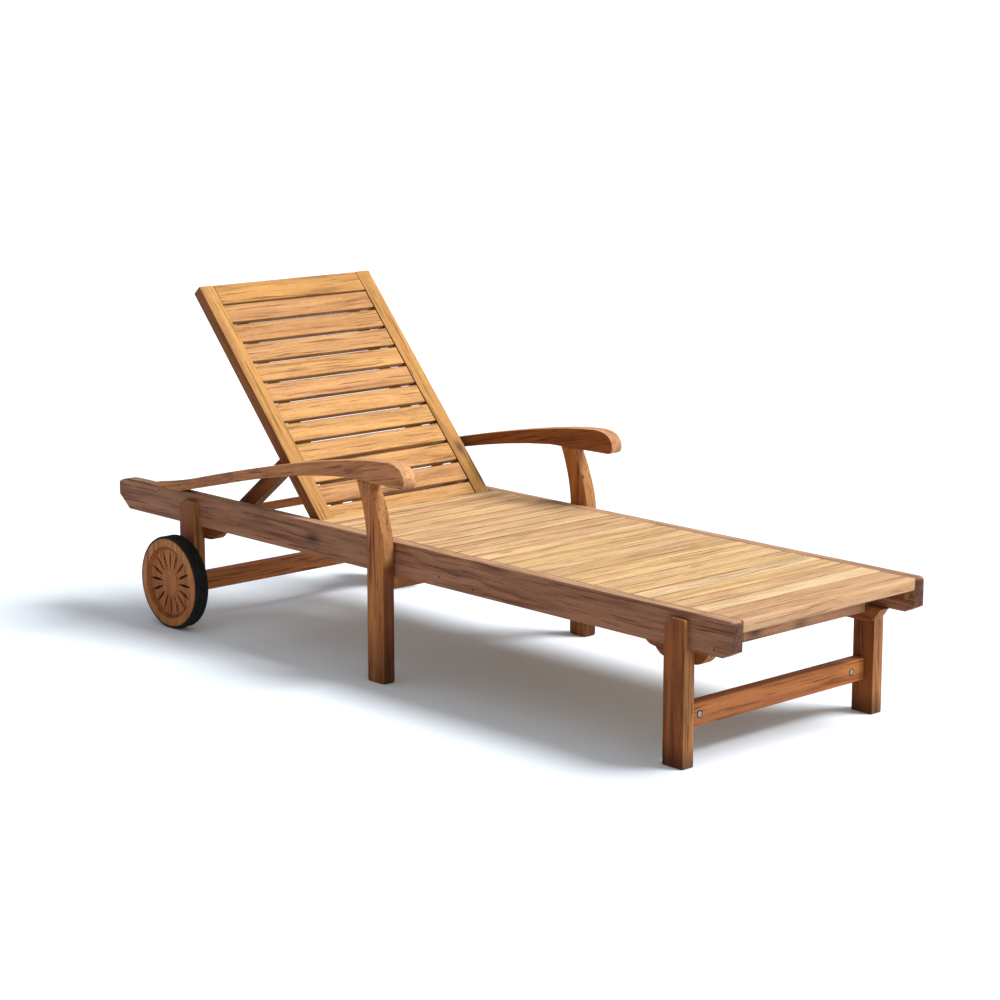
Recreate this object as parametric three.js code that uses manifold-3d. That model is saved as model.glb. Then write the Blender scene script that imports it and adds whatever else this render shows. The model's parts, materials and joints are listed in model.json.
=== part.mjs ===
// Reclining teak sun lounger with armrests and two wheels.
// Millimetres, +Z up. +X points to the foot end, +Y to the left of a person lying on it.
// The origin is on the floor, below the middle of the side rails.

import * as THREE from "three";
import { mergeVertices } from "three/addons/utils/BufferGeometryUtils.js";
import Module from "manifold-3d";

// ---------------------------------------------------------------- driving dimensions

const fit = 0.3; // gap between two pieces that touch

// Side rails
const railLength = 2000;
const railTop = 310;
const railHeight = 74;
const railThickness = 28;
const railOuter = 286; // from the centre line to the outer face

// Legs
const legWidth = 55; // along X
const legThickness = 31; // along Y
const legOuter = 300; // from the centre line to the outer face
const footLegX = 861.5;
const wheelLegX = -707.5;
const tabTop = 296; // top of the tab that laps over the rail
const wheelLegFoot = 70; // the wheel legs end just below the axle

// Deck
const slatThickness = 22;
const slatPitch = 51.3;
const slatGap = 2.6;
const slatCount = 23;
const headSlatWidth = 36; // the slat beside the backrest is narrower
const centreBattenHalf = 16; // half the width of the batten under the slats
const centreBattenDepth = 14;
const endBoardWidth = 88;
const endBoardThickness = 26;

// Backrest
const hingeX = -272;
const hingeDrop = 14; // from the deck surface down to the hinge pin
const reclineDegrees = 48.2; // as it stands, above the horizontal
const backLength = 656; // from the hinge pin to the top edge
const backHalfWidth = 255;
const stileWidth = 40;
const stileThickness = 28;
const topRailWidth = 54;
const backSlatCount = 11;
const backSlatThickness = 15;
const backSlatGap = 8;
const backSlatSetback = 2; // slat faces lie this far below the stile faces
const backSlatOverrun = 10; // the lowest slat reaches this far past the hinge line
const topRailGap = 3; // shadow gap between the top rail and the first slat

// Prop
const propPivotAlong = 200; // from the hinge pin, along the backrest
const propPivotDrop = 31; // behind the hinge pin, square to the backrest
const propLength = 257; // from the pivot rod to the bar
const propLeanDegrees = 37.6; // arm below the horizontal, as it stands
const propArmWidth = 36;
const propArmThickness = 24;
const propBarRadius = 10.5;
const propRodRadius = 4;

// Rack
const rackTop = 254; // tooth tops, just below the path of the prop bar
const rackHead = -762;
const rackFoot = -520;
const firstNotchX = -539;
const notchPitch = 31;
const notchCount = 7;
const notchWidth = 22;
const notchDepth = 8;

// Arms
const armPostX = 2;
const armUnderside = 438;
const armWidth = 34;
const armSplayDegrees = 2.2;

// Wheels
const wheelRadius = 109;
const wheelOuter = 364; // from the centre line to the outer face
const wheelWidth = 36;
const tyreThickness = 5;
const axleX = -698;
const axleRadius = 6;
const petalCount = 16;

// ---------------------------------------------------------------- worked-out dimensions

const railBottom = railTop - railHeight;
const railInner = railOuter - railThickness;
const legInner = legOuter - legThickness;
const hingeZ = railTop - hingeDrop;
const deckUnderside = railTop - slatThickness;
const endBoardUnderside = railTop - endBoardThickness;
const endBoardHead = railLength / 2 - endBoardWidth;
const postInner = railOuter + 4;
const postCentreY = postInner + legThickness / 2;
const ledgerInner = railInner - 17;
const ledgerBottom = 264;
const backSeat = railTop - stileThickness - 0.8;
const deckHead = endBoardHead - slatCount * slatPitch + (slatPitch - slatGap - headSlatWidth);
const battenInner = 156;
const battenOuter = battenInner + 24;
const propArmOuter = battenOuter + fit + propArmThickness;
const stretcherHalf = legInner - fit;
const stretcherThickness = 28;
const footStretcherX = footLegX - 9.5;

const degrees = Math.PI / 180;
const wheelCentreY = wheelOuter - wheelWidth / 2 - 1;
const sides = [["left", 1], ["right", -1]];

// ---------------------------------------------------------------- colours

const wood = {
  rail: 0x8a6248,
  leg: 0x9a6234,
  deck: 0xd9b184,
  back: 0xdba866,
  arm: 0x8c6450,
  wheel: 0x9c5f3c,
};

function timber(colour) {
  return new THREE.MeshStandardMaterial({ color: colour, roughness: 0.7, metalness: 0 });
}

function steel() {
  return new THREE.MeshStandardMaterial({ color: 0xb8b8b4, roughness: 0.35, metalness: 1 });
}

function rubber() {
  return new THREE.MeshStandardMaterial({ color: 0x17181a, roughness: 0.85, metalness: 0 });
}

// ---------------------------------------------------------------- solid helpers

const wasm = await Module();
wasm.setup();

function toManifold(geometry) {
  const bare = geometry.clone();
  bare.deleteAttribute("normal");
  bare.deleteAttribute("uv");
  const welded = mergeVertices(bare, 1e-4);
  return new wasm.Manifold(new wasm.Mesh({
    numProp: 3,
    vertProperties: new Float32Array(welded.attributes.position.array),
    triVerts: new Uint32Array(welded.index.array),
  }));
}

function toGeometry(solid) {
  const mesh = solid.getMesh();
  const geometry = new THREE.BufferGeometry();
  geometry.setAttribute("position", new THREE.BufferAttribute(mesh.vertProperties, 3));
  geometry.setIndex(new THREE.BufferAttribute(mesh.triVerts, 1));
  geometry.computeVertexNormals();
  return geometry;
}

function union(...geometries) {
  let solid = toManifold(geometries[0]);
  for (const geometry of geometries.slice(1)) {
    solid = solid.add(toManifold(geometry));
  }
  return toGeometry(solid);
}

function cut(geometry, ...tools) {
  let solid = toManifold(geometry);
  for (const tool of tools) {
    solid = solid.subtract(toManifold(tool));
  }
  return toGeometry(solid);
}

// A box between two limits on each axis.
function box([x0, x1], [y0, y1], [z0, z1]) {
  const geometry = new THREE.BoxGeometry(x1 - x0, Math.abs(y1 - y0), z1 - z0);
  geometry.translate((x0 + x1) / 2, (y0 + y1) / 2, (z0 + z1) / 2);
  return geometry;
}

// An outline in X and Z, made solid between two values of Y.
function plate(outline, [ya, yb], curveSegments = 12) {
  const depth = Math.abs(yb - ya);
  const geometry = new THREE.ExtrudeGeometry(outline, { depth, bevelEnabled: false, curveSegments });
  geometry.rotateX(Math.PI / 2);
  geometry.translate(0, Math.max(ya, yb), 0);
  return geometry;
}

// A round bar along Y.
function bar(radius, [ya, yb], x, z, segments = 24) {
  const geometry = new THREE.CylinderGeometry(radius, radius, Math.abs(yb - ya), segments);
  geometry.translate(x, (ya + yb) / 2, z);
  return geometry;
}

function polygon(points) {
  return new THREE.Shape(points.map(([x, z]) => new THREE.Vector2(x, z)));
}

function place(parent, name, geometry, material) {
  const mesh = new THREE.Mesh(geometry, material);
  mesh.name = name;
  parent.add(mesh);
  return mesh;
}

// ---------------------------------------------------------------- side rails

// Head end: long eased top corner and a deep chamfer below. Foot end: small easings.
function railOutline() {
  const head = -railLength / 2;
  const foot = railLength / 2;
  const shape = new THREE.Shape();
  shape.moveTo(head + 40, railBottom);
  shape.lineTo(foot - 26, railBottom);
  shape.lineTo(foot, railBottom + 13);
  shape.lineTo(foot, railTop - 10);
  shape.quadraticCurveTo(foot, railTop, foot - 10, railTop);
  shape.lineTo(head + 52, railTop);
  shape.quadraticCurveTo(head + 16, railTop, head, railTop - 12);
  shape.lineTo(head, railBottom + 32);
  return shape;
}

function sideRail(sign) {
  const board = plate(railOutline(), [sign * railInner, sign * railOuter], 6);
  const pinHole = bar(5 + fit, [sign * (railInner - 1), sign * (railOuter - 6)], hingeX, hingeZ);
  return cut(board, pinHole);
}

// ---------------------------------------------------------------- legs, brackets and cross pieces

// A post whose outer part laps over the rail as a tab, with its head-side top corner bevelled.
function lappedLeg(x, sign, foot) {
  const x0 = x - legWidth / 2;
  const x1 = x + legWidth / 2;
  const outline = polygon([
    [x0, foot],
    [x1, foot],
    [x1, tabTop - 2],
    [x1 - 4, tabTop],
    [x0 + 21, tabTop],
    [x0, tabTop - 12],
  ]);
  const post = plate(outline, [sign * legInner, sign * legOuter]);
  const railHousing = box(
    [x0 - 1, x1 + 1],
    [sign * (legInner - 1), sign * (railOuter + fit)],
    [railBottom - fit, tabTop + 1],
  );
  return cut(post, railHousing);
}

function wheelLeg(sign) {
  const hole = bar(axleRadius + fit, [sign * (legInner - 1), sign * (legOuter + 1)], axleX, wheelRadius);
  return cut(lappedLeg(wheelLegX, sign, wheelLegFoot), hole);
}

// A cleat under the rail, along the inner side of the leg, with an ogee at its long end,
// which points along inward, to the middle of the lounger, and a plain curve at the short end.
function legBracket(x, sign, inward, withCheek) {
  const long = 108;
  const short = 72;
  const top = railBottom - fit;
  const step = top - 15; // height of the shoulder of the ogee
  const bottom = railBottom - 32;
  const at = (distance) => x + inward * distance;
  const shape = new THREE.Shape();
  shape.moveTo(at(long), top);
  shape.quadraticCurveTo(at(long - 6), step + 1, at(long - 30), step);
  shape.quadraticCurveTo(at(long - 42), bottom, at(long - 66), bottom);
  shape.lineTo(at(-28), bottom);
  shape.quadraticCurveTo(at(24 - short), bottom + 2, at(12 - short), top - 9);
  shape.quadraticCurveTo(at(8 - short), top - 2, at(-short), top);
  const cleat = plate(shape, [sign * ledgerInner, sign * (legInner - fit)], 5);
  if (!withCheek) {
    return cleat;
  }
  const cheek = box(
    [x - legWidth / 2, x + legWidth / 2],
    [sign * ledgerInner, sign * (railInner - fit)],
    [top - 1, ledgerBottom - fit],
  );
  return union(cleat, cheek);
}

function footStretcher() {
  return box(
    [footStretcherX - stretcherThickness / 2, footStretcherX + stretcherThickness / 2],
    [-stretcherHalf, stretcherHalf],
    [70, 118],
  );
}

function wheelStretcher() {
  const beam = box(
    [axleX - stretcherThickness / 2, axleX + stretcherThickness / 2],
    [-stretcherHalf, stretcherHalf],
    [78, 120],
  );
  const holes = sides.map(([, sign]) =>
    bar(axleRadius + fit, [sign * (stretcherHalf - 42), sign * (stretcherHalf + 1)], axleX, wheelRadius));
  return cut(beam, ...holes);
}

function armCrossRail() {
  const front = armPostX + legWidth / 2;
  const half = postInner - fit;
  return box([front - 30, front], [-half, half], [railBottom - 29, railBottom - fit]);
}

// Its top edge is notched over the centre batten of the deck.
function footApron() {
  const front = footLegX + legWidth / 2 - 1;
  const half = ledgerInner - fit;
  const board = box([front - 26, front], [-half, half], [railBottom - 13, deckUnderside - fit]);
  const notch = box(
    [front - 27, front + 1],
    [-centreBattenHalf - fit, centreBattenHalf + fit],
    [deckUnderside - centreBattenDepth - fit, deckUnderside],
  );
  return cut(board, notch);
}

// ---------------------------------------------------------------- ledgers with the prop rack

// The head part is a rack. The bar of the prop rides just over its teeth.
function ledger(sign) {
  const head = -950;
  const foot = railLength / 2 - 12;
  const seatEnd = deckHead - slatGap;
  const outline = polygon([
    [head, railBottom + 6],
    [rackFoot + 40, railBottom + 6],
    [rackFoot + 74, ledgerBottom],
    [foot, ledgerBottom],
    [foot, endBoardUnderside - fit],
    [endBoardHead - slatGap, endBoardUnderside - fit],
    [endBoardHead - slatGap, deckUnderside - fit],
    [seatEnd, deckUnderside - fit],
    [seatEnd, backSeat],
    [rackFoot, backSeat],
    [rackFoot, rackTop],
    [rackHead, rackTop],
    [rackHead, backSeat],
    [head, backSeat],
  ]);
  const strip = plate(outline, [sign * ledgerInner, sign * (railInner - fit)]);
  const notches = [];
  for (let i = 0; i < notchCount; i += 1) {
    const x = firstNotchX - i * notchPitch;
    notches.push(box(
      [x - notchWidth / 2, x + notchWidth / 2],
      [sign * (ledgerInner - 1), sign * railInner],
      [rackTop - notchDepth, rackTop + 1],
    ));
  }
  return cut(strip, ...notches);
}

// ---------------------------------------------------------------- deck

// Neighbouring slats, first to last counted from the backrest, on their length of the centre batten.
function slatGroup(first, last) {
  const half = railInner - 0.8;
  const bodies = [];
  for (let number = first; number <= last; number += 1) {
    const foot = endBoardHead - slatGap - (slatCount - number) * slatPitch;
    const head = number === 1 ? deckHead : foot - slatPitch + slatGap;
    bodies.push(box([head, foot], [-half, half], [deckUnderside, railTop]));
  }
  const battenHead = first === 1 ? deckHead : endBoardHead - (slatCount - first + 1) * slatPitch - slatGap / 2;
  const battenFoot = endBoardHead - (slatCount - last) * slatPitch - slatGap / 2 - fit;
  bodies.push(box(
    [battenHead, battenFoot],
    [-centreBattenHalf, centreBattenHalf],
    [deckUnderside - centreBattenDepth, deckUnderside + 1],
  ));
  return union(...bodies);
}

function endBoard() {
  const foot = railLength / 2;
  const half = railInner - 0.8;
  const outline = new THREE.Shape();
  outline.moveTo(endBoardHead, endBoardUnderside);
  outline.lineTo(foot - 5, endBoardUnderside);
  outline.quadraticCurveTo(foot, endBoardUnderside, foot, endBoardUnderside + 5);
  outline.lineTo(foot, railTop - 5);
  outline.quadraticCurveTo(foot, railTop, foot - 5, railTop);
  outline.lineTo(endBoardHead, railTop);
  return plate(outline, [-half, half], 4);
}

// ---------------------------------------------------------------- armrests and posts

// Local X and Z of the armrest: a flat tail on the rail, a rising bow and a blunt scroll.
function armrest() {
  const tail = railTop + fit;
  const shape = new THREE.Shape();
  shape.moveTo(-865, tail);
  shape.lineTo(-748, tail);
  shape.bezierCurveTo(-560, 352, -330, 420, -90, armUnderside);
  shape.lineTo(92, armUnderside);
  shape.quadraticCurveTo(104, armUnderside + 2, 105, armUnderside + 14);
  shape.quadraticCurveTo(104, 488, 52, 489);
  shape.bezierCurveTo(-70, 487, -330, 440, -700, 346);
  shape.quadraticCurveTo(-800, 323, -865, tail + 4);
  return plate(shape, [-armWidth / 2, armWidth / 2], 10);
}

// Straight up to the rail top, then narrower and bent toward the head end.
function armPost(sign) {
  const x0 = armPostX - legWidth / 2;
  const x1 = armPostX + legWidth / 2;
  const top = armUnderside - fit;
  const shape = new THREE.Shape();
  shape.moveTo(x0 + 3, 0);
  shape.lineTo(x1 - 3, 0);
  shape.lineTo(x1, 5);
  shape.lineTo(x1, railTop - 8);
  shape.bezierCurveTo(x1 - 2, railTop + 34, x1 - 26, railTop + 90, x1 - 46, top);
  shape.lineTo(x0 - 32, top);
  shape.bezierCurveTo(x0 - 16, railTop + 92, x0 - 3, railTop + 50, x0, railTop + 6);
  shape.lineTo(x0, 5);
  return plate(shape, [sign * postInner, sign * (postInner + legThickness)], 8);
}

// ---------------------------------------------------------------- backrest, drawn flat with the hinge at the origin

const backFace = hingeDrop;
const backBack = hingeDrop - stileThickness;

function stile(sign) {
  const shape = new THREE.Shape();
  shape.moveTo(-backLength, backFace);
  shape.lineTo(-backLength, backBack);
  shape.lineTo(0, backBack);
  shape.absarc(0, 0, stileThickness / 2, -Math.PI / 2, Math.PI / 2, false);
  const body = plate(shape, [sign * (backHalfWidth - stileWidth), sign * backHalfWidth]);
  const pinHole = bar(5 + fit, [sign * (backHalfWidth - 22), sign * (backHalfWidth + 1)], 0, 0);
  return cut(body, pinHole);
}

const backInner = backHalfWidth - stileWidth - fit;

function topRail() {
  return box([-backLength, -backLength + topRailWidth], [-backInner, backInner], [backBack, backFace]);
}

// Slats share the opening below the top rail, evenly.
function backSlat(index) {
  const top = -backLength + topRailWidth + topRailGap;
  const pitch = (backSlatOverrun - top + backSlatGap) / backSlatCount;
  const x0 = top + index * pitch;
  const face = backFace - backSlatSetback;
  return box([x0, x0 + pitch - backSlatGap], [-backInner, backInner], [face - backSlatThickness, face]);
}

const battenFace = backFace - backSlatSetback - backSlatThickness - fit;
const battenDepth = 13;
const propPivot = [-propPivotAlong, -propPivotDrop];

// A strip along the backs of the slats, with a deep lug for the prop rod.
function batten(sign) {
  const back = battenFace - battenDepth;
  const lugHalf = 24;
  const outline = new THREE.Shape();
  outline.moveTo(-backLength + topRailWidth + 1, battenFace);
  outline.lineTo(-backLength + topRailWidth + 1, back);
  outline.lineTo(propPivot[0] - lugHalf - 24, back);
  outline.lineTo(propPivot[0] - lugHalf + 8, propPivot[1] - 16);
  outline.lineTo(propPivot[0] + lugHalf - 8, propPivot[1] - 16);
  outline.lineTo(propPivot[0] + lugHalf + 24, back);
  outline.lineTo(-14, back);
  outline.lineTo(-14, battenFace);
  const body = plate(outline, [sign * battenInner, sign * battenOuter]);
  const hole = bar(propRodRadius + fit, [sign * (battenInner - 1), sign * (battenOuter + 1)], ...propPivot, 16);
  return cut(body, hole);
}

// ---------------------------------------------------------------- prop, drawn with its pivot at the origin, folded flat

function propArm(sign) {
  const radius = propArmWidth / 2;
  const shape = new THREE.Shape();
  shape.moveTo(-propLength, radius);
  shape.absarc(-propLength, 0, radius, Math.PI / 2, 1.5 * Math.PI, false);
  shape.lineTo(0, -radius);
  shape.absarc(0, 0, radius, -Math.PI / 2, Math.PI / 2, false);
  const across = [sign * (battenOuter + fit), sign * propArmOuter];
  const wide = [sign * battenOuter, sign * (propArmOuter + 1)];
  const pivotHole = bar(propRodRadius + fit, wide, 0, 0, 16);
  const barHole = bar(propBarRadius + fit, wide, -propLength, 0);
  return cut(plate(shape, across), pivotHole, barHole);
}

function propBar() {
  return bar(propBarRadius, [-(railInner - 3), railInner - 3], -propLength, 0);
}

// A steel rod with a button head beyond each prop arm.
function propRod() {
  const reach = propArmOuter + fit;
  const rod = bar(propRodRadius, [-reach - 1, reach + 1], 0, 0, 16);
  const heads = sides.map(([, sign]) => bar(8, [sign * reach, sign * (reach + 4)], 0, 0, 16));
  return union(rod, ...heads);
}

// ---------------------------------------------------------------- wheels, drawn about their own axle along +Y

// Turned disc: flat rim, sunk dish, raised hub. The bore is open on the inner side only.
function wheelDisc(sign) {
  const radius = wheelRadius - tyreThickness - fit;
  const dish = 0.74 * radius;
  const hub = 0.25 * radius;
  const face = wheelWidth / 2 + 1;
  const back = -wheelWidth / 2;
  const boss = legOuter + 1 - wheelCentreY;
  const profile = [
    [0, face - 12],
    [axleRadius + fit, face - 12],
    [axleRadius + fit, boss],
    [28, boss],
    [34, back],
    [radius, back],
    [radius, face - 2],
    [radius - 2, face],
    [dish, face],
    [dish - 1, face - 6],
    [dish - 7, face - 9],
    [hub, face - 9],
    [hub, face - 5],
    [hub - 3, face - 2],
    [0, face - 2],
  ];
  const turned = new THREE.LatheGeometry(profile.map(([r, y]) => new THREE.Vector2(r, y)), 64);
  const slots = [];
  for (let i = 0; i < petalCount; i += 1) {
    const slot = box([hub + 8, dish - 14], [face - 15, face], [-1.7, 1.7]);
    slot.rotateY((i + 0.5) * 2 * Math.PI / petalCount);
    slots.push(slot);
  }
  const disc = cut(turned, ...slots);
  if (sign < 0) {
    disc.rotateZ(Math.PI);
  }
  return disc;
}

function tyre(sign) {
  const inner = wheelRadius - tyreThickness;
  const half = wheelWidth / 2;
  const profile = [
    [inner, -half],
    [wheelRadius - 2.5, -half],
    [wheelRadius, -half + 3],
    [wheelRadius, half - 3],
    [wheelRadius - 2.5, half],
    [inner, half],
    [inner, -half],
  ];
  const ring = new THREE.LatheGeometry(profile.map(([r, y]) => new THREE.Vector2(r, y)), 64);
  if (sign < 0) {
    ring.rotateZ(Math.PI);
  }
  return ring;
}

// From inside the stretcher, through the leg, to the blind end of the hub bore.
function axleBolt(sign) {
  return bar(axleRadius, [sign * (stretcherHalf - 40), sign * (wheelOuter - 14)], axleX, wheelRadius);
}

function hingePin(sign) {
  return bar(5, [sign * (backHalfWidth - 20), sign * (railOuter - 8)], hingeX, hingeZ);
}

// ---------------------------------------------------------------- assembly

const lounger = new THREE.Group();

const backrest = new THREE.Group();
backrest.position.set(hingeX, 0, hingeZ);
backrest.rotation.y = reclineDegrees * degrees;
lounger.add(backrest);

const prop = new THREE.Group();
prop.position.set(propPivot[0], 0, propPivot[1]);
prop.rotation.y = -(reclineDegrees + propLeanDegrees) * degrees;
backrest.add(prop);

for (const [side, sign] of sides) {
  place(lounger, `${side}_side_rail`, sideRail(sign), timber(wood.rail));
  place(lounger, `${side}_foot_leg`, lappedLeg(footLegX, sign, 0), timber(wood.leg));
  place(lounger, `${side}_wheel_leg`, wheelLeg(sign), timber(wood.leg));
  place(lounger, `${side}_arm_post`, armPost(sign), timber(wood.leg));
  const arm = place(lounger, `${side}_armrest`, armrest(), timber(wood.arm));
  arm.position.y = sign * postCentreY;
  arm.rotation.z = sign * armSplayDegrees * degrees;
  place(lounger, `${side}_foot_leg_bracket`, legBracket(footLegX, sign, -1, true), timber(wood.leg));
  place(lounger, `${side}_wheel_leg_bracket`, legBracket(wheelLegX, sign, 1, false), timber(wood.leg));
  place(lounger, `${side}_ledger_and_rack`, ledger(sign), timber(wood.leg));
  place(lounger, `${side}_hinge_pin`, hingePin(sign), steel());
  place(lounger, `${side}_axle_bolt`, axleBolt(sign), steel());
  place(backrest, `${side}_backrest_stile`, stile(sign), timber(wood.back));
  place(backrest, `${side}_backrest_batten`, batten(sign), timber(wood.back));
  place(prop, `${side}_prop_arm`, propArm(sign), timber(wood.leg));
  const disc = place(lounger, `${side}_wheel_disc`, wheelDisc(sign), timber(wood.wheel));
  disc.position.set(axleX, sign * wheelCentreY, wheelRadius);
  const band = place(lounger, `${side}_tyre`, tyre(sign), rubber());
  band.position.copy(disc.position);
}

place(lounger, "foot_stretcher", footStretcher(), timber(wood.leg));
place(lounger, "wheel_stretcher", wheelStretcher(), timber(wood.leg));
place(lounger, "arm_cross_rail", armCrossRail(), timber(wood.leg));
place(lounger, "foot_apron", footApron(), timber(wood.leg));
place(lounger, "end_board", endBoard(), timber(wood.deck));

place(lounger, "deck_slats_01_to_03", slatGroup(1, 3), timber(wood.deck));
for (let number = 4; number < slatCount; number += 2) {
  const first = String(number).padStart(2, "0");
  const second = String(number + 1).padStart(2, "0");
  place(lounger, `deck_slats_${first}_and_${second}`, slatGroup(number, number + 1), timber(wood.deck));
}

place(backrest, "backrest_top_rail", topRail(), timber(wood.back));
for (let i = 0; i < backSlatCount; i += 1) {
  place(backrest, `backrest_slat_${String(i + 1).padStart(2, "0")}`, backSlat(i), timber(wood.back));
}

const rod = place(backrest, "prop_rod", propRod(), steel());
rod.position.set(propPivot[0], 0, propPivot[1]);
place(prop, "prop_bar", propBar(), timber(wood.leg));

export default lounger;
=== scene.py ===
"""Looks of the reclining sun lounger: dry teak, steel fittings, rubber tyres and a pale studio.

Metres, in the frame of the model: +X toward the foot end, +Y to the left of a person lying on it, +Z up.
"""

import json
import math

import bpy
from mathutils import Matrix, Vector


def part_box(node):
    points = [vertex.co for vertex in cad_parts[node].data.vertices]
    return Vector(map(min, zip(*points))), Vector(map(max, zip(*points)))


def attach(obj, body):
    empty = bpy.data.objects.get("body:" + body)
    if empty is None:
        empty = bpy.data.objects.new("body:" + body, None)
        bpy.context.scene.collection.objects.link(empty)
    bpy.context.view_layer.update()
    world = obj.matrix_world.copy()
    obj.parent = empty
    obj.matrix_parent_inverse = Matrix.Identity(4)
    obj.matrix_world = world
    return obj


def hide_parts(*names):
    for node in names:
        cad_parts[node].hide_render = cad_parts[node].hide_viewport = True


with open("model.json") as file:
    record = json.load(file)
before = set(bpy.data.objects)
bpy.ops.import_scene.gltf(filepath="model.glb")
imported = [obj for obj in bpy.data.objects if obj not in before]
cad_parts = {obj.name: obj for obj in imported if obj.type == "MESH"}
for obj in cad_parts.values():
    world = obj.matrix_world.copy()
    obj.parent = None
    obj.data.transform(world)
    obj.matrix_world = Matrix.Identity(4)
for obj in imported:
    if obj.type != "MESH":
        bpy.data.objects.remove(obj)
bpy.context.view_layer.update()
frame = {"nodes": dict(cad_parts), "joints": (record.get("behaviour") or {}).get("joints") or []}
nodes = frame["nodes"]
joints = {joint["name"]: joint for joint in frame["joints"]}

# ---------------------------------------------------------------- places taken from the frame

MM = 0.001
SIDES = (("left", 1), ("right", -1))
RECLINE = math.radians(-joints["backrest_recline"]["range_deg"][0])
HINGE = Vector(joints["backrest_recline"]["pos_m"])
PROP_PIVOT = Vector(joints["prop_fold"]["pos_m"])
AXLE = Vector(joints["left_wheel_spin"]["pos_m"])


def middle(name):
    low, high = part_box(name)
    return (low + high) / 2


PROP_LEAN = math.atan2(PROP_PIVOT.z - middle("prop_bar").z, PROP_PIVOT.x - middle("prop_bar").x)

ARM_SLOPE = math.radians(13)  # the mean slope of an armrest

# How a texture is turned so that its own X runs with the grain of a piece.
ALONG_X = (0, 0, 0)
ALONG_Y = (0, 0, -math.pi / 2)
ALONG_Z = (0, math.pi / 2, 0)
UP_THE_BACK = (0, -RECLINE, 0)
ACROSS_THE_BACK = (0, -RECLINE, -math.pi / 2)
ALONG_PROP = (0, PROP_LEAN, 0)
ALONG_ARM = (0, ARM_SLOPE, 0)

# ---------------------------------------------------------------- rows of slats

DECK_PITCH = 51.3 * MM
DECK_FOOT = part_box("end_board")[0].x
BACK_COUNT = 11
BACK_LENGTH = 656 * MM  # from the hinge pin to the top edge
TOP_RAIL_WIDTH = 54 * MM
TOP_RAIL_GAP = 3 * MM
BACK_SLAT_GAP = 8 * MM
BACK_SLAT_OVERRUN = 10 * MM  # the lowest slat reaches this far past the hinge line
BACK_ROW_END = BACK_SLAT_OVERRUN + BACK_SLAT_GAP
BACK_PITCH = (BACK_LENGTH - TOP_RAIL_WIDTH - TOP_RAIL_GAP + BACK_ROW_END) / BACK_COUNT
HINGE_ALONG = HINGE.x * math.cos(RECLINE) - HINGE.z * math.sin(RECLINE)

# Where each row starts along the turned Y, and its pitch. The grain of the slats runs across, so the turned Y
# runs from the foot end to the head end, and a row is counted from its foot end.
DECK_BOARDS = (-DECK_FOOT, DECK_PITCH)
BACK_BOARDS = (-HINGE_ALONG - BACK_ROW_END, BACK_PITCH)

# ---------------------------------------------------------------- colours

WHITE = (1.0, 1.0, 1.0)
TONES = {
    "cream": (1.0, 1.0, 1.02),
    "gold": (0.96, 0.89, 0.76),
    "tan": (0.91, 0.84, 0.77),
    "pink": (0.88, 0.78, 0.73),
    "brown": (0.81, 0.71, 0.63),
    "straw": (0.94, 0.86, 0.74),
}
# The tones of the slats, from the head end of each row.
DECK_TONES = (
    "tan pink tan straw pink tan pink tan brown pink tan straw "
    "gold tan brown straw gold tan straw cream gold pink cream"
).split()
BACK_TONES = "pink brown tan gold pink straw gold gold straw pink gold".split()

# ---------------------------------------------------------------- node helpers


def add(tree, kind, inputs=None, **settings):
    node = tree.nodes.new(kind)
    for key, value in settings.items():
        setattr(node, key, value)
    for key, value in (inputs or {}).items():
        if isinstance(value, bpy.types.NodeSocket):
            tree.links.new(value, node.inputs[key])
        else:
            node.inputs[key].default_value = value
    return node


def maths(tree, operation, a, b=0.0, c=0.0):
    return add(tree, "ShaderNodeMath", {0: a, 1: b, 2: c}, operation=operation).outputs[0]


def ramp(tree, value, stops, interpolation="LINEAR"):
    node = add(tree, "ShaderNodeValToRGB", {0: value})
    node.color_ramp.interpolation = interpolation
    elements = node.color_ramp.elements
    while len(elements) < len(stops):
        elements.new(0.5)
    for element, (position, colour) in zip(elements, stops):
        element.position = position
        shade = colour if isinstance(colour, tuple) else (colour, colour, colour)
        element.color = (*shade, 1)
    return node.outputs[0]


def mix(tree, factor, a, b, blend="MIX"):
    node = add(tree, "ShaderNodeMix", data_type="RGBA", blend_type=blend)
    for key, value in ((0, factor), (6, a), (7, b)):
        if isinstance(value, bpy.types.NodeSocket):
            tree.links.new(value, node.inputs[key])
        elif isinstance(value, tuple):
            node.inputs[key].default_value = (*value, 1)
        else:
            node.inputs[key].default_value = value
    return node.outputs[2]


def multiply(tree, colour, factor):
    return mix(tree, 1.0, colour, factor, "MULTIPLY")


def shade(colour, factor):
    return tuple(factor * channel for channel in colour)


def stretched(tree, vector, scale):
    along, across = scale
    return add(tree, "ShaderNodeMapping", {"Vector": vector, "Scale": (along, across, across)}).outputs[0]


def stretched_noise(tree, vector, scale, detail, roughness=0.5, distortion=0.0):
    return add(tree, "ShaderNodeTexNoise", {
        "Vector": stretched(tree, vector, scale),
        "Scale": 1.0,
        "Detail": detail,
        "Roughness": roughness,
        "Distortion": distortion,
    }).outputs[0]


def new_material(name):
    material = bpy.data.materials.new(name)
    material.use_nodes = True
    tree = material.node_tree
    return material, tree, tree.nodes["Principled BSDF"]


# ---------------------------------------------------------------- teak

# How fine each layer of the wood is, along the grain and across it, in cells per metre.
RING_SCALE = (1.3, 13)
STREAK_SCALE = (1.8, 46)
FIBRE_SCALE = (14, 360)
PATCH_SCALE = (2.2, 7)
SMUDGE_SCALE = (3.5, 24)
HAIR_SCALE = (5.0, 190)
PORE_SCALE = (60, 1100)
KNOT_SCALE = (3.2, 6.5)
WANDER_SCALE = (5, 14)
WANDER_REACH = 16 * MM
LOG_SPREAD = 9.0  # how far apart in the log the boards of a row are sawn


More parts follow.
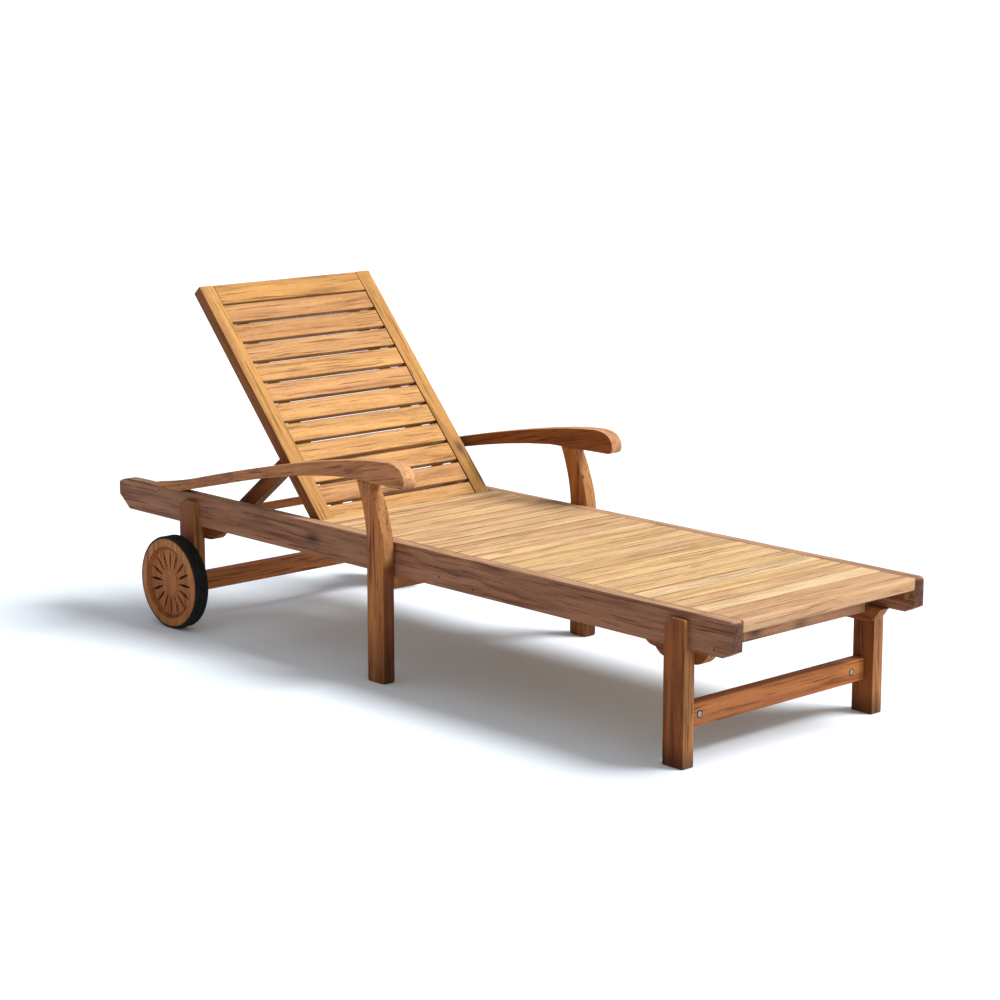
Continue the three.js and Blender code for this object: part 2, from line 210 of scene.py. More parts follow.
def board_place(tree, turned, boards):
    """Which board of a row a point is on, and how far it is from the middle of that board, from 0 to 1."""
    start, pitch = boards
    part = add(tree, "ShaderNodeSeparateXYZ", {0: turned}).outputs[1]
    position = maths(tree, "DIVIDE", maths(tree, "SUBTRACT", part, start), pitch)
    number = maths(tree, "FLOOR", position)
    within = maths(tree, "SUBTRACT", maths(tree, "FRACT", position), 0.5)
    return number, maths(tree, "MULTIPLY", maths(tree, "ABSOLUTE", within), 2.0)


def place_in_log(tree, turned, seed, number=None):
    """The place in a log that a point was sawn from, with a grain that wanders sideways."""
    if number is None:
        shift = (seed, 1.7 * seed, 2.3 * seed)
    else:
        jump = add(tree, "ShaderNodeTexWhiteNoise", {"W": number}, noise_dimensions="1D").outputs["Color"]
        spread = {0: jump, "Scale": LOG_SPREAD}
        shift = add(tree, "ShaderNodeVectorMath", spread, operation="SCALE").outputs[0]
    wood = add(tree, "ShaderNodeVectorMath", {0: turned, 1: shift}).outputs[0]
    wander = add(tree, "ShaderNodeTexNoise", {
        "Vector": stretched(tree, wood, WANDER_SCALE),
        "Scale": 1.0,
        "Detail": 2.0,
    }).outputs["Color"]
    return add(tree, "ShaderNodeVectorMath", {
        0: wander,
        1: (0, WANDER_REACH, WANDER_REACH),
        2: wood,
    }, operation="MULTIPLY_ADD").outputs[0]


def grain_layers(tree, wood, figure):
    """Growth rings, streaks, fibres, bleached patches, smudges, hair lines and pores."""
    rings = maths(tree, "MULTIPLY", stretched_noise(tree, wood, RING_SCALE, 1.5), figure)
    hair_lines = stretched_noise(tree, wood, HAIR_SCALE, 3.0, 0.66)
    smudges = stretched_noise(tree, wood, SMUDGE_SCALE, 3.0, 0.6, 0.4)
    smudges = maths(tree, "MULTIPLY_ADD", hair_lines, -0.7, smudges)
    return {
        "rings": ramp(tree, maths(tree, "FRACT", rings),
                      [(0.0, 0.75), (0.12, 1.0), (0.6, 0.72), (0.9, 0.18), (1.0, 0.75)]),
        "streaks": stretched_noise(tree, wood, STREAK_SCALE, 3.0, 0.62),
        "fibres": stretched_noise(tree, wood, FIBRE_SCALE, 3.0, 0.68),
        "patches": stretched_noise(tree, wood, PATCH_SCALE, 2.0, 0.55),
        "smudges": maths(tree, "ADD", smudges, 0.35),
        "hairs": ramp(tree, hair_lines, [(0.35, 1.0), (0.45, 0.0)]),
        "pores": ramp(tree, stretched_noise(tree, wood, PORE_SCALE, 1.0), [(0.36, 0.0), (0.43, 1.0)]),
    }


def sawn_colour(tree, layers, dark, light, contrast, stain):
    """Dark to light by streaks, rings and fibres, and over that patches, smudges, hair lines and pores."""
    body = maths(tree, "MULTIPLY_ADD", layers["streaks"], 1.7, -0.33)
    body = maths(tree, "MULTIPLY_ADD", layers["rings"], 0.34 * contrast, body)
    body = maths(tree, "MULTIPLY_ADD", layers["fibres"], 0.55 * contrast, body)
    body = maths(tree, "SUBTRACT", body, 0.44 * contrast)
    middle_tone = tuple(0.45 * a + 0.55 * b for a, b in zip(dark, light))
    faded = tuple(0.80 * channel + 0.03 for channel in middle_tone)
    colour = ramp(tree, body, [(0.0, dark), (0.42, middle_tone), (0.95, light)])
    colour = mix(tree, ramp(tree, layers["patches"], [(0.42, 0.0), (0.75, 0.35)]), colour, faded)
    colour = mix(tree, ramp(tree, layers["smudges"], [(0.53, 0.0), (0.76, stain)]), colour, shade(dark, 0.6))
    colour = mix(tree, maths(tree, "MULTIPLY", layers["hairs"], 0.85), colour, shade(dark, 0.8))
    return mix(tree, maths(tree, "MULTIPLY_ADD", layers["pores"], -0.30, 0.30), colour, dark)


def with_knots(tree, colour, wood, dark):
    cells = add(tree, "ShaderNodeTexVoronoi", {"Vector": stretched(tree, wood, KNOT_SCALE), "Scale": 1.0})
    knots = ramp(tree, cells.outputs["Distance"], [(0.03, 0.85), (0.07, 0.35), (0.12, 0.0)])
    return mix(tree, knots, colour, shade(dark, 0.35))


def with_board_tones_and_edge_shade(tree, colour, number, from_middle, tones):
    """Each board of a row in its own tone, with painted shade along its edges beside the gaps."""
    stops = [(i / len(tones), TONES[tone]) for i, tone in enumerate(tones)]
    share = maths(tree, "DIVIDE", maths(tree, "ADD", number, 0.5), float(len(tones)))
    colour = multiply(tree, colour, ramp(tree, share, stops, "CONSTANT"))
    # Painted shade along the edges of each board, beside the gaps between the boards.
    return multiply(tree, colour, ramp(tree, from_middle, [(0.86, 1.0), (0.95, 0.62)]))


def with_end_grain(tree, colour, normal, grain, end_grain):
    """The sawn end faces darker than the faces along the grain."""
    facing = add(tree, "ShaderNodeMapping", {"Vector": normal, "Rotation": grain}, vector_type="VECTOR")
    along = maths(tree, "ABSOLUTE", add(tree, "ShaderNodeSeparateXYZ", {0: facing.outputs[0]}).outputs[0])
    return multiply(tree, colour, ramp(tree, along, [(0.75, 1.0), (0.97, end_grain)]))


# Painted shade by facing: faces that look along X or along Y are darkened, and the end faces can be kept to
# below a height.
def with_painted_facing_shade(tree, colour, normal, height, side_shade, end_shade, end_shade_below):
    looks = add(tree, "ShaderNodeSeparateXYZ", {0: normal}).outputs
    toward_end = maths(tree, "ABSOLUTE", looks[0])
    toward_side = maths(tree, "ABSOLUTE", looks[1])
    if end_shade_below:
        below_shade_line = ramp(tree, height, [(end_shade_below - 50 * MM, 1.0), (end_shade_below, 0.0)])
        toward_end = maths(tree, "MULTIPLY", toward_end, below_shade_line)
    for toward, shade_colour in ((toward_end, end_shade), (toward_side, side_shade)):
        colour = multiply(tree, colour, ramp(tree, toward, [(0.45, WHITE), (0.9, shade_colour)]))
    return colour


def teak(name, dark, light, grain, seed=0.0, figure=7.0, contrast=1.0, gloss=0.0, boards=None, tones=(),
         side_shade=WHITE, end_shade=WHITE, end_grain=0.66, stain=0.3, end_shade_below=0.0, low_darkening=0.0, low_darkening_height=35 * MM):
    """Teak with its fibres along the piece.

    figure is how many rings the wood shows, and boards and tones are the row of slats that a piece holds.
    The side and end colours are painted shade on the faces that look along Y and along X, which take less
    light than the tops.
    The end colour can be kept to the part of the piece below a height, where shade falls from above.
    The wood gets darker toward the floor by a given amount, up to a given height; on the posts this is
    painted shade under the deck.
    """
    material, tree, shader = new_material(name)
    place = add(tree, "ShaderNodeTexCoord").outputs
    turned = add(tree, "ShaderNodeMapping", {"Vector": place["Object"], "Rotation": grain}).outputs[0]
    height = add(tree, "ShaderNodeSeparateXYZ", {0: place["Object"]}).outputs[2]
    number, from_middle = board_place(tree, turned, boards) if boards else (None, None)
    wood = place_in_log(tree, turned, seed, number)
    layers = grain_layers(tree, wood, figure)

    colour = sawn_colour(tree, layers, dark, light, contrast, stain)
    colour = with_knots(tree, colour, wood, dark)
    if boards:
        colour = with_board_tones_and_edge_shade(tree, colour, number, from_middle, tones)
    colour = with_end_grain(tree, colour, place["Normal"], grain, end_grain)
    # Painted shade: faces that look along X or along Y darker than the tops.
    colour = with_painted_facing_shade(tree, colour, place["Normal"], height, side_shade, end_shade, end_shade_below)
    # Darker toward the floor; on the posts this is painted shade under the deck.
    if low_darkening:
        height = maths(tree, "MULTIPLY_ADD", layers["streaks"], -0.8 * low_darkening_height, height)
        colour = multiply(tree, colour, ramp(tree, height, [(0.0, 1 - low_darkening), (low_darkening_height, 1.0)]))

    relief = maths(tree, "MULTIPLY_ADD", layers["rings"], 0.5, layers["fibres"])
    relief = maths(tree, "MULTIPLY_ADD", layers["pores"], 0.6, relief)
    bump = add(tree, "ShaderNodeBump", {"Height": relief, "Strength": 0.45, "Distance": 0.6 * MM})
    rough = maths(tree, "MULTIPLY_ADD", layers["fibres"], 0.25, 0.50 - gloss)
    tree.links.new(colour, shader.inputs["Base Color"])
    tree.links.new(rough, shader.inputs["Roughness"])
    tree.links.new(bump.outputs[0], shader.inputs["Normal"])
    shader.inputs["Specular IOR Level"].default_value = 0.15
    return material


# The dark and the light colour of each kind of piece.
RAIL = ((0.170, 0.075, 0.039), (0.490, 0.290, 0.168))
LEG = ((0.115, 0.037, 0.009), (0.410, 0.175, 0.057))
POST = ((0.130, 0.041, 0.011), (0.500, 0.230, 0.082))
CROSS = ((0.185, 0.051, 0.012), (0.520, 0.185, 0.055))
APRON = ((0.210, 0.088, 0.040), (0.500, 0.250, 0.135))
ARM = ((0.200, 0.078, 0.032), (0.680, 0.360, 0.170))
DECK = ((0.320, 0.178, 0.074), (0.775, 0.555, 0.318))
END_BOARD = ((0.290, 0.142, 0.066), (0.600, 0.365, 0.200))
BACK = ((0.240, 0.108, 0.036), (0.650, 0.375, 0.155))
BACK_FRAME = ((0.215, 0.089, 0.023), (0.545, 0.275, 0.076))
WHEEL = ((0.150, 0.040, 0.011), (0.440, 0.150, 0.042))
WHEEL_RIM = ((0.180, 0.052, 0.013), (0.500, 0.190, 0.055))
# Painted shade for the low faces in the slots of the wheels.
WHEEL_SLOT_SHADE = tuple(shade(tone, 0.3) for tone in WHEEL)

# Painted shade on the faces that look along Y and along X, which take less light than the tops.
RAIL_SIDE_SHADE = (0.68, 0.51, 0.45)
RAIL_END_SHADE = (0.66, 0.50, 0.46)
LEG_SIDE_SHADE = (0.66, 0.44, 0.24)
POST_SIDE_SHADE = (0.94, 0.72, 0.52)
POST_FRONT_SHADE = (0.50, 0.34, 0.24)
ARM_SIDE_SHADE = (0.76, 0.57, 0.44)
LEFT_ARM_SIDE_SHADE = (0.50, 0.30, 0.16)
BACK_SIDE_SHADE = (0.46, 0.29, 0.17)

MATERIALS = {
    "rail": teak("rail_teak", *RAIL, ALONG_X, seed=1.3, figure=6.0, side_shade=RAIL_SIDE_SHADE, end_shade=RAIL_END_SHADE,
                 stain=0.75, end_grain=0.42),
    "leg": teak("leg_teak", *LEG, ALONG_Z, seed=2.1, figure=8.0, contrast=1.2, gloss=0.05, side_shade=LEG_SIDE_SHADE,
                stain=0.6, low_darkening=0.55),
    "apron": teak("apron_teak", *APRON, ALONG_Y, seed=1.9, stain=0.5),
    # The posts carry painted shade on their faces along Y, on their front faces below the rail where the deck
    # shades them, and toward the floor.
    "post": teak("post_teak", *POST, ALONG_Z, seed=4.6, figure=8.0, contrast=1.1, gloss=0.05, side_shade=POST_SIDE_SHADE,
                 end_shade=POST_FRONT_SHADE, end_shade_below=0.30, low_darkening=0.4, low_darkening_height=100 * MM),
    "cross": teak("cross_teak", *CROSS, ALONG_Y, seed=3.7, gloss=0.06),
    "bracket": teak("bracket_teak", *LEG, ALONG_X, seed=5.2, gloss=0.04, side_shade=LEG_SIDE_SHADE),
    "right_arm": teak("right_arm_teak", *ARM, ALONG_ARM, seed=0.6, gloss=0.02, side_shade=ARM_SIDE_SHADE, end_grain=1.0),
    # The left armrest is a shaded copy of the right one, with darker painted shade on its faces along Y.
    "left_arm": teak("left_arm_teak", *ARM, ALONG_ARM, seed=1.1, gloss=0.02, side_shade=LEFT_ARM_SIDE_SHADE,
                     end_grain=0.8),
    "deck": teak("deck_teak", *DECK, ALONG_Y, boards=DECK_BOARDS, tones=DECK_TONES[::-1], side_shade=RAIL_SIDE_SHADE),
    "end_board": teak("end_board_teak", *END_BOARD, ALONG_Y, seed=6.1),
    "back_slat": teak("back_slat_teak", *BACK, ACROSS_THE_BACK, contrast=1.1, boards=BACK_BOARDS,
                      tones=BACK_TONES[::-1]),
    "back_frame": teak("back_frame_teak", *BACK_FRAME, UP_THE_BACK, seed=7.4, figure=6.0, side_shade=BACK_SIDE_SHADE,
                       stain=0.5),
    "back_rail": teak("back_rail_teak", *BACK_FRAME, ACROSS_THE_BACK, seed=8.2, figure=6.0, stain=0.5),
    "prop": teak("prop_teak", *LEG, ALONG_PROP, seed=9.3, gloss=0.04, side_shade=LEG_SIDE_SHADE),
    "wheel": teak("wheel_teak", *WHEEL, ALONG_Z, seed=2.9, figure=9.0, gloss=0.05),
    "wheel_slot_shade": teak("wheel_slot_shade_teak", *WHEEL_SLOT_SHADE, ALONG_Z, seed=2.9),
    "wheel_rim": teak("wheel_rim_teak", *WHEEL_RIM, ALONG_Z, seed=2.9, figure=9.0, gloss=0.05),
}

# ---------------------------------------------------------------- steel, rubber and floor


def speckled(name, scale, detail, stops):
    """A material whose colour is a ramp over a noise. Gives its tree, its shader and the noise as well."""
    material, tree, shader = new_material(name)
    place = add(tree, "ShaderNodeTexCoord").outputs["Object"]
    noise = add(tree, "ShaderNodeTexNoise", {"Vector": place, "Scale": scale, "Detail": detail}).outputs[0]
    tree.links.new(ramp(tree, noise, stops), shader.inputs["Base Color"])
    return material, tree, shader, noise


def steel():
    stops = [(0.3, (0.22, 0.21, 0.20)), (0.7, (0.46, 0.45, 0.43))]
    material, tree, shader, scratches = speckled("brushed_steel", 900.0, 4.0, stops)
    tree.links.new(maths(tree, "MULTIPLY_ADD", scratches, 0.3, 0.15), shader.inputs["Roughness"])
    shader.inputs["Metallic"].default_value = 1.0
    return material


def rubber():
    stops = [(0.4, (0.004, 0.004, 0.004)), (0.8, (0.016, 0.015, 0.014))]
    material, tree, shader, dust = speckled("tyre_rubber", 35.0, 5.0, stops)
    tree.links.new(maths(tree, "MULTIPLY_ADD", dust, 0.3, 0.6), shader.inputs["Roughness"])
    shader.inputs["Specular IOR Level"].default_value = 0.2
    place = add(tree, "ShaderNodeTexCoord").outputs["Object"]
    skin = add(tree, "ShaderNodeTexNoise", {"Vector": place, "Scale": 1400.0, "Detail": 2.0}).outputs[0]
    bump = add(tree, "ShaderNodeBump", {"Height": skin, "Strength": 0.3, "Distance": 0.3 * MM})
    tree.links.new(bump.outputs[0], shader.inputs["Normal"])
    return material


# Near black: painted shade for the holes round the fittings.
def painted_hole_shade():
    stops = [(0.3, (0.012, 0.007, 0.004)), (0.7, (0.05, 0.025, 0.014))]
    material, _, shader, _ = speckled("painted_hole_shade", 700.0, 3.0, stops)
    shader.inputs["Roughness"].default_value = 0.9
    return material


def studio_floor():
    stops = [(0.3, (0.745, 0.805, 0.87)), (0.7, (0.765, 0.825, 0.89))]
    material, _, shader, _ = speckled("studio_floor", 0.7, 2.0, stops)
    shader.inputs["Roughness"].default_value = 0.95
    shader.inputs["Specular IOR Level"].default_value = 0.0
    return material


STEEL = steel()
RUBBER = rubber()
HOLE_SHADE = painted_hole_shade()

# ---------------------------------------------------------------- mesh helpers


def paint(obj, *materials):
    obj.data.materials.clear()
    for material in materials:
        obj.data.materials.append(material)


def soften(name, radius, material, segments=3):
    """A wooden CAD piece with its edges rounded over, as a router leaves them.

    Doubled points and flat faces are merged first, so that the bevel meets only the real edges.
    """
    piece = nodes[name]
    piece.data.polygons.foreach_set("use_smooth", [True] * len(piece.data.polygons))
    weld = piece.modifiers.new("weld", "WELD")
    weld.merge_threshold = 0.02 * MM
    merge = piece.modifiers.new("merge_flat_faces", "DECIMATE")
    merge.decimate_type = "DISSOLVE"
    merge.angle_limit = math.radians(0.5)
    bevel = piece.modifiers.new("eased_edges", "BEVEL")
    bevel.width = radius
    bevel.segments = segments
    bevel.limit_method = "ANGLE"
    bevel.angle_limit = math.radians(28)
    bevel.harden_normals = True
    bevel.use_clamp_overlap = True
    paint(piece, material)


def mesh_piece(name, vertices, faces, body, materials, sharp_degrees):
    """A smooth piece on a body, with hard edges where its faces meet at more than sharp_degrees."""
    mesh = bpy.data.meshes.new(name)
    mesh.from_pydata(vertices, [], faces)
    mesh.validate()
    mesh.polygons.foreach_set("use_smooth", [True] * len(mesh.polygons))
    obj = bpy.data.objects.new(name, mesh)
    bpy.context.scene.collection.objects.link(obj)
    paint(obj, *materials)
    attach(obj, body)
    split = obj.modifiers.new("sharp_edges", "EDGE_SPLIT")
    split.split_angle = math.radians(sharp_degrees)
    return obj


def ring_faces(count, steps, closed=False):
    """Faces between neighbouring rings of points, and from the last ring to the first if closed."""
    faces = []
    for ring in range(count if closed else count - 1):
        following = (ring + 1) % count
        for i in range(steps):
            j = (i + 1) % steps
            faces.append((ring * steps + i, ring * steps + j, following * steps + j, following * steps + i))
    return faces


def turned_piece(name, profile, place, axis, material, steps):
    """A turned fitting of the frame, from (radius, height) points whose heights run along axis."""
    turn = Vector((0, 0, 1)).rotation_difference(Vector(axis)).to_matrix().to_4x4()
    place = Matrix.Translation(place) @ turn
    vertices = []
    for radius, height in profile:
        for i in range(steps):
            angle = math.tau * i / steps
            vertices.append(place @ Vector((radius * math.cos(angle), radius * math.sin(angle), height)))
    faces = ring_faces(len(profile), steps)
    faces.append(tuple(range(steps))[::-1])
    faces.append(tuple(range((len(profile) - 1) * steps, len(profile) * steps)))
    obj = mesh_piece(name, vertices, faces, "lounger_frame", [material], 35)


# ---------------------------------------------------------------- wooden pieces

EASED = 2.2 * MM

for side, sign in SIDES:
    soften(f"{side}_side_rail", 2.5 * MM, MATERIALS["rail"])
    soften(f"{side}_foot_leg", EASED, MATERIALS["leg"])
    soften(f"{side}_wheel_leg", EASED, MATERIALS["leg"])
    soften(f"{side}_arm_post", EASED, MATERIALS["post"])
    soften(f"{side}_armrest", 5 * MM, MATERIALS[f"{side}_arm"], 5)
    soften(f"{side}_foot_leg_bracket", EASED, MATERIALS["bracket"])
    soften(f"{side}_wheel_leg_bracket", EASED, MATERIALS["bracket"])
    soften(f"{side}_ledger_and_rack", 1.2 * MM, MATERIALS["bracket"])
    soften(f"{side}_backrest_stile", 2.5 * MM, MATERIALS["back_frame"])
    soften(f"{side}_backrest_batten", 1.5 * MM, MATERIALS["back_frame"])
    soften(f"{side}_prop_arm", EASED, MATERIALS["prop"])
    paint(nodes[f"{side}_hinge_pin"], STEEL)
    paint(nodes[f"{side}_axle_bolt"], STEEL)

for name in nodes:
    if name.startswith("deck_slats"):
        soften(name, 1.6 * MM, MATERIALS["deck"])
    elif name.startswith("backrest_slat"):
        soften(name, EASED, MATERIALS["back_slat"])

soften("backrest_top_rail", 2.5 * MM, MATERIALS["back_rail"])
soften("end_board", 2 * MM, MATERIALS["end_board"])
soften("foot_stretcher", EASED, MATERIALS["cross"])
soften("wheel_stretcher", EASED, MATERIALS["cross"])
soften("arm_cross_rail", EASED, MATERIALS["cross"])
soften("foot_apron", EASED, MATERIALS["apron"])
soften("prop_bar", 1.5 * MM, MATERIALS["cross"])
paint(nodes["prop_rod"], STEEL)

# ---------------------------------------------------------------- wheels

WHEEL_RADIUS = AXLE.z
FIT = 0.3 * MM
TYRE_THICKNESS = 5 * MM
DISC_RADIUS = WHEEL_RADIUS - TYRE_THICKNESS - FIT
DISH_RADIUS = 0.82 * DISC_RADIUS
DISH_DEPTH = 7 * MM
DISH_WALL = 4 * MM  # how far inward the wall of the dish slopes
HUB_RADIUS = 0.29 * DISC_RADIUS
HUB_RISE = 2 * MM
CAP_RADIUS = 4 * MM  # the flat middle of the hub, inside the first ring of points
SPOKES = 16
SLOT_INNER = 0.33 * DISC_RADIUS
SLOT_OUTER = 0.75 * DISC_RADIUS
SLOT_WIDTH = 5.6 * MM
SLOT_DEPTH = 7 * MM
SPOKE_CROWN = 1.2 * MM  # how much lower a spoke is beside its slots than along its middle
GROOVE_DEPTH = 2.5 * MM  # the ring groove just inside the wall of the dish
STEPS_PER_SPOKE = 24
RING_STEP = 1.4 * MM
TREAD_GROOVES = (-6 * MM, 6 * MM)
TREAD_STEPS = 288
STEPS_PER_CUT = 6
TREAD_CUT = 0.9 * MM


def smooth_step(low, high, value):
    t = min(max((value - low) / (high - low), 0), 1)
    return t * t * (3 - 2 * t)


def carved_depth(radius, angle):
    """Height of the carved face over its rim: a sunk dish round a hub, with lens-shaped slots."""
    wall = smooth_step(DISH_RADIUS, DISH_RADIUS - DISH_WALL, radius)
    hub = 1 - smooth_step(HUB_RADIUS - 2 * MM, HUB_RADIUS + 2 * MM, radius)
    along = (radius - SLOT_INNER) / (SLOT_OUTER - SLOT_INNER)
    from_slot = abs((angle * SPOKES / math.tau + 0.5) % 1 - 0.5)
    spoke_drop = 0
    if 0 < along < 1:
        half_width = SLOT_WIDTH / 2 * math.sin(math.pi * along ** 0.8)
        distance = from_slot * math.tau * radius / SPOKES
        spoke_drop = SLOT_DEPTH * smooth_step(half_width + 0.4 * MM, half_width - 0.7 * MM, distance)
        spoke_drop += SPOKE_CROWN * (1 - 2 * from_slot) ** 2 * math.sin(math.pi * along)
    ring_groove = GROOVE_DEPTH * smooth_step(DISH_RADIUS - 8 * MM, DISH_RADIUS - 5 * MM, radius)
    return -wall * (DISH_DEPTH + spoke_drop + ring_groove) + hub * HUB_RISE


def wheel_rings(half_width, face_y, boss):
    """Radius and height of each ring of points of a wheel, with no height for those on the carved face."""
    radii = [CAP_RADIUS]
    while radii[-1] < DISC_RADIUS - 3.5 * MM:
        radii.append(radii[-1] + RING_STEP)
    radii.append(DISC_RADIUS - 2 * MM)
    rings = [(radius, None) for radius in radii]
    rings += [(DISC_RADIUS - 0.6 * MM, face_y - 0.6 * MM), (DISC_RADIUS, face_y - 2 * MM)]
    rings += [(DISC_RADIUS, -half_width + 1 * MM), (DISC_RADIUS - 1 * MM, -half_width)]
    rings += [(34 * MM, -half_width), (31 * MM, -half_width - 3 * MM), (28 * MM, boss), (10 * MM, boss)]
    return rings


def paint_carving(wheel, sign, hub_y, face_y):
    """Material 1 outside the dish, 2 low in the slots for painted shade, and 0 everywhere else."""
    for face in wheel.data.polygons:
        from_axle = face.center - AXLE
        outside = math.hypot(from_axle.x, from_axle.z) > DISH_RADIUS
        height = sign * face.center.y - hub_y - face_y
        in_slot_shade = -DISH_DEPTH - SLOT_DEPTH - 4 * MM < height < -DISH_DEPTH - 3 * MM
        face.material_index = 1 if outside else 2 if in_slot_shade else 0


def carved_wheel(side, sign):
    tyre_low, tyre_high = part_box(f"{side}_tyre")
    half_width = (tyre_high.y - tyre_low.y) / 2
    hub_y = AXLE.y
    face_y = half_width + 1 * MM
    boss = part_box("left_foot_leg")[1].y + 1 * MM - hub_y
    rings = wheel_rings(half_width, face_y, boss)
    steps = SPOKES * STEPS_PER_SPOKE
    vertices = []
    for radius, height in rings:
        for i in range(steps):
            angle = math.tau * i / steps
            y = face_y + carved_depth(radius, angle) if height is None else height
            vertices.append((AXLE.x + radius * math.cos(angle), sign * (hub_y + y),
                             AXLE.z + radius * math.sin(angle)))
    cap = tuple(range(steps))
    last = tuple(range((len(rings) - 1) * steps, len(rings) * steps))
    quads = ring_faces(len(rings), steps)
    if sign > 0:
        faces = [(a, d, c, b) for a, b, c, d in quads] + [cap, last[::-1]]
    else:
        faces = [(b, c, d, a) for a, b, c, d in quads] + [cap[::-1], last]
    materials = [MATERIALS["wheel"], MATERIALS["wheel_rim"], MATERIALS["wheel_slot_shade"]]
    wheel = mesh_piece(f"{side}_carved_wheel", vertices, faces, f"{side}_wheel", materials, 40)
    paint_carving(wheel, sign, hub_y, face_y)
    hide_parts(f"{side}_wheel_disc")


def tyre_profile(half):
    """Radius and Y of the outline of a tyre, from its inner edge over the tread and back."""
    inner = DISC_RADIUS + FIT
    shoulder = [
        (WHEEL_RADIUS - 2.6 * MM, half),
        (WHEEL_RADIUS - 0.8 * MM, half - 1 * MM),
        (WHEEL_RADIUS, half - 3 * MM),
    ]
    profile = [(inner, -half + 0.6 * MM), (inner + 1 * MM, -half)]
    profile += [(radius, -y) for radius, y in shoulder]
    for groove in TREAD_GROOVES:
        profile += [(WHEEL_RADIUS, groove - 1.6 * MM), (WHEEL_RADIUS - 1.6 * MM, groove - 1 * MM)]
        profile += [(WHEEL_RADIUS - 1.6 * MM, groove + 1 * MM), (WHEEL_RADIUS, groove + 1.6 * MM)]
    profile += shoulder[::-1]
    profile += [(inner + 1 * MM, half), (inner, half - 0.6 * MM)]
    return profile


def moulded_tyre(side):
    """A solid tyre with round shoulders and a tread of two grooves and cross cuts."""
    low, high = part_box(f"{side}_tyre")
    centre_y = (low.y + high.y) / 2
    profile = tyre_profile((high.y - low.y) / 2)
    vertices = []
    for radius, y in profile:
        on_tread = radius > WHEEL_RADIUS - 0.1 * MM
        for i in range(TREAD_STEPS):
            cut = TREAD_CUT if on_tread and i % STEPS_PER_CUT == 0 else 0
            angle = math.tau * i / TREAD_STEPS
            vertices.append((AXLE.x + (radius - cut) * math.cos(angle), centre_y + y,
                             AXLE.z + (radius - cut) * math.sin(angle)))
    faces = ring_faces(len(profile), TREAD_STEPS, closed=True)
    tyre = mesh_piece(f"{side}_moulded_tyre", vertices, faces, f"{side}_wheel", [RUBBER], 35)
    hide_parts(f"{side}_tyre")


for side, sign in SIDES:
    carved_wheel(side, sign)
    moulded_tyre(side)

# ---------------------------------------------------------------- fittings

HOLE_SHADE_LIP = 0.2 * MM  # how far the painted hole shade round a fitting stands over the wood
HOLE_SHADE_ROOT = -2 * MM  # how deep it is sunk into the wood
SCREW_RADIUS = 1.7 * MM
NUT_RADIUS = 5.6 * MM
NUT_INSET = 40 * MM  # from the end of the foot stretcher

# X and Z of the screws in the outer face of each side rail.
RAIL_SCREWS = (
    (0.953, 0.249),
    (0.276, 0.248),
    (0.170, 0.258),
    (-0.836, 0.300),
    (-0.900, 0.251),
    (-0.520, 0.262),
)


def hole_shade_disc(name, place, axis, inner, outer, steps):
    """Painted shade of the hole round the head of a fitting: a dark ring with a flat dark middle."""
    low_lip = HOLE_SHADE_LIP - 0.05 * MM
    profile = [(outer, HOLE_SHADE_ROOT), (outer, low_lip), (inner, HOLE_SHADE_LIP), (0.1 * MM, HOLE_SHADE_LIP)]
    turned_piece(name, profile, place, axis, HOLE_SHADE, steps)


def barrel_nut(name, place, axis):
    """The steel end of a barrel nut, with a socket in it, in a dark rim of painted hole shade."""
    hole_shade_disc(f"{name}_rim", place, axis, NUT_RADIUS, NUT_RADIUS + 2.4 * MM, 32)
    head = [(NUT_RADIUS, -1 * MM), (NUT_RADIUS, 0.7 * MM), (NUT_RADIUS - 0.8 * MM, 1.3 * MM)]
    head += [(2.2 * MM, 1.3 * MM), (1.8 * MM, 0.5 * MM), (0.1 * MM, 0.5 * MM)]
    turned_piece(name, head, place, axis, STEEL, 32)


for side, sign in SIDES:
    rail_low, rail_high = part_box(f"{side}_side_rail")
    face_y = sign * max(abs(rail_low.y), abs(rail_high.y))
    for number, (x, z) in enumerate(RAIL_SCREWS, 1):
        place = Vector((x, face_y, z))
        # Each screw is a dark disc: its head, with painted shade of its hole round it.
        hole_shade_disc(f"{side}_rail_screw_{number}", place, (0, sign, 0), SCREW_RADIUS, SCREW_RADIUS + 0.8 * MM, 24)
    low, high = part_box("foot_stretcher")
    place = Vector((high.x, sign * (high.y - NUT_INSET), (low.z + high.z) / 2))
    barrel_nut(f"{side}_foot_stretcher_nut", place, (1, 0, 0))
    leg_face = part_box("left_wheel_leg")[1].y
    washer = [(6.6 * MM, 0), (13 * MM, 0), (13 * MM, 0.7 * MM), (6.6 * MM, 0.7 * MM)]
    place = Vector((AXLE.x, sign * (leg_face + 0.15 * MM), AXLE.z))
    turned_piece(f"{side}_wheel_washer", washer, place, (0, sign, 0), STEEL, 32)

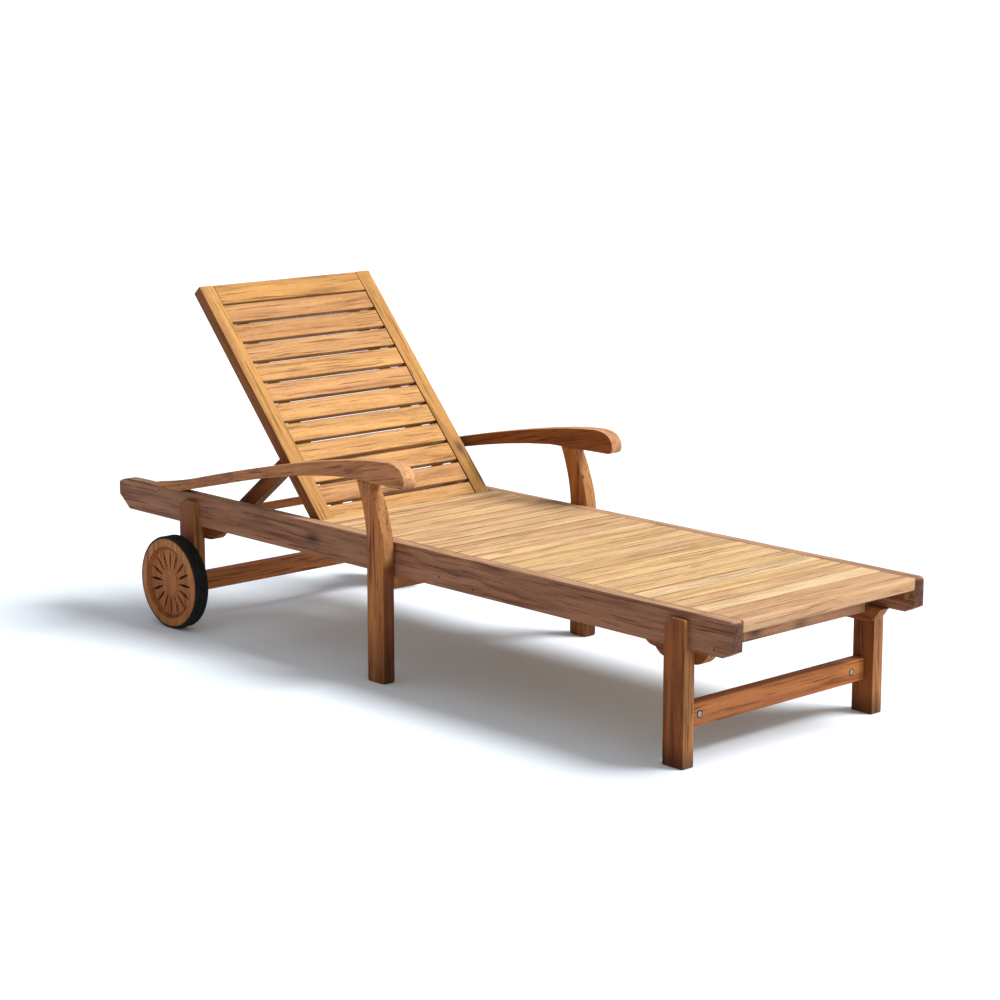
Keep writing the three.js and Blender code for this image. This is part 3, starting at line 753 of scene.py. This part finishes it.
# ---------------------------------------------------------------- studio


FLOOR_HALF = 400
VIEW_END = 2000
CAMERA_PLACE = (4.1464, -3.7934, 1.4807)
CAMERA_TILT = 78.71  # degrees up from straight down
CAMERA_TURN = 47.2  # degrees about Z
SENSOR_MM = 36
LENS_MM = 93.07


def floor():
    half = FLOOR_HALF
    corners = [(-half, -half, 0), (half, -half, 0), (half, half, 0), (-half, half, 0)]
    mesh = bpy.data.meshes.new("floor")
    mesh.from_pydata(corners, [], [(0, 1, 2, 3)])
    obj = bpy.data.objects.new("floor", mesh)
    bpy.context.scene.collection.objects.link(obj)
    paint(obj, studio_floor())


def sun(name, toward, strength, spread):
    """A sun that stands in the direction toward, and looks spread degrees wide."""
    light = bpy.data.lights.new(name, "SUN")
    light.energy = strength
    light.angle = math.radians(spread)
    obj = bpy.data.objects.new(name, light)
    obj.rotation_euler = Vector(toward).to_track_quat("Z", "Y").to_euler()
    bpy.context.scene.collection.objects.link(obj)


def pale_world(strength):
    """White where the camera sees it, and dimmer where it lights the lounger."""
    world = bpy.data.worlds.new("studio")
    world.use_nodes = True
    tree = world.node_tree
    background = tree.nodes["Background"]
    background.inputs["Color"].default_value = (1, 1, 1, 1)
    seen = add(tree, "ShaderNodeLightPath").outputs["Is Camera Ray"]
    tree.links.new(maths(tree, "MAXIMUM", seen, strength), background.inputs["Strength"])
    bpy.context.scene.world = world


def camera():
    data = bpy.data.cameras.new("camera")
    data.sensor_width = SENSOR_MM
    data.lens = LENS_MM
    data.clip_end = VIEW_END
    obj = bpy.data.objects.new("camera", data)
    obj.location = CAMERA_PLACE
    obj.rotation_euler = (math.radians(CAMERA_TILT), 0, math.radians(CAMERA_TURN))
    bpy.context.scene.collection.objects.link(obj)
    bpy.context.scene.camera = obj


floor()
sun("key", toward=(0.55, 0.53, 1.0), strength=4.2, spread=28)
sun("fill", toward=(1.0, 0.2, 0.35), strength=0.55, spread=70)
pale_world(strength=0.50)
camera()
bpy.context.scene.view_settings.view_transform = "Standard"
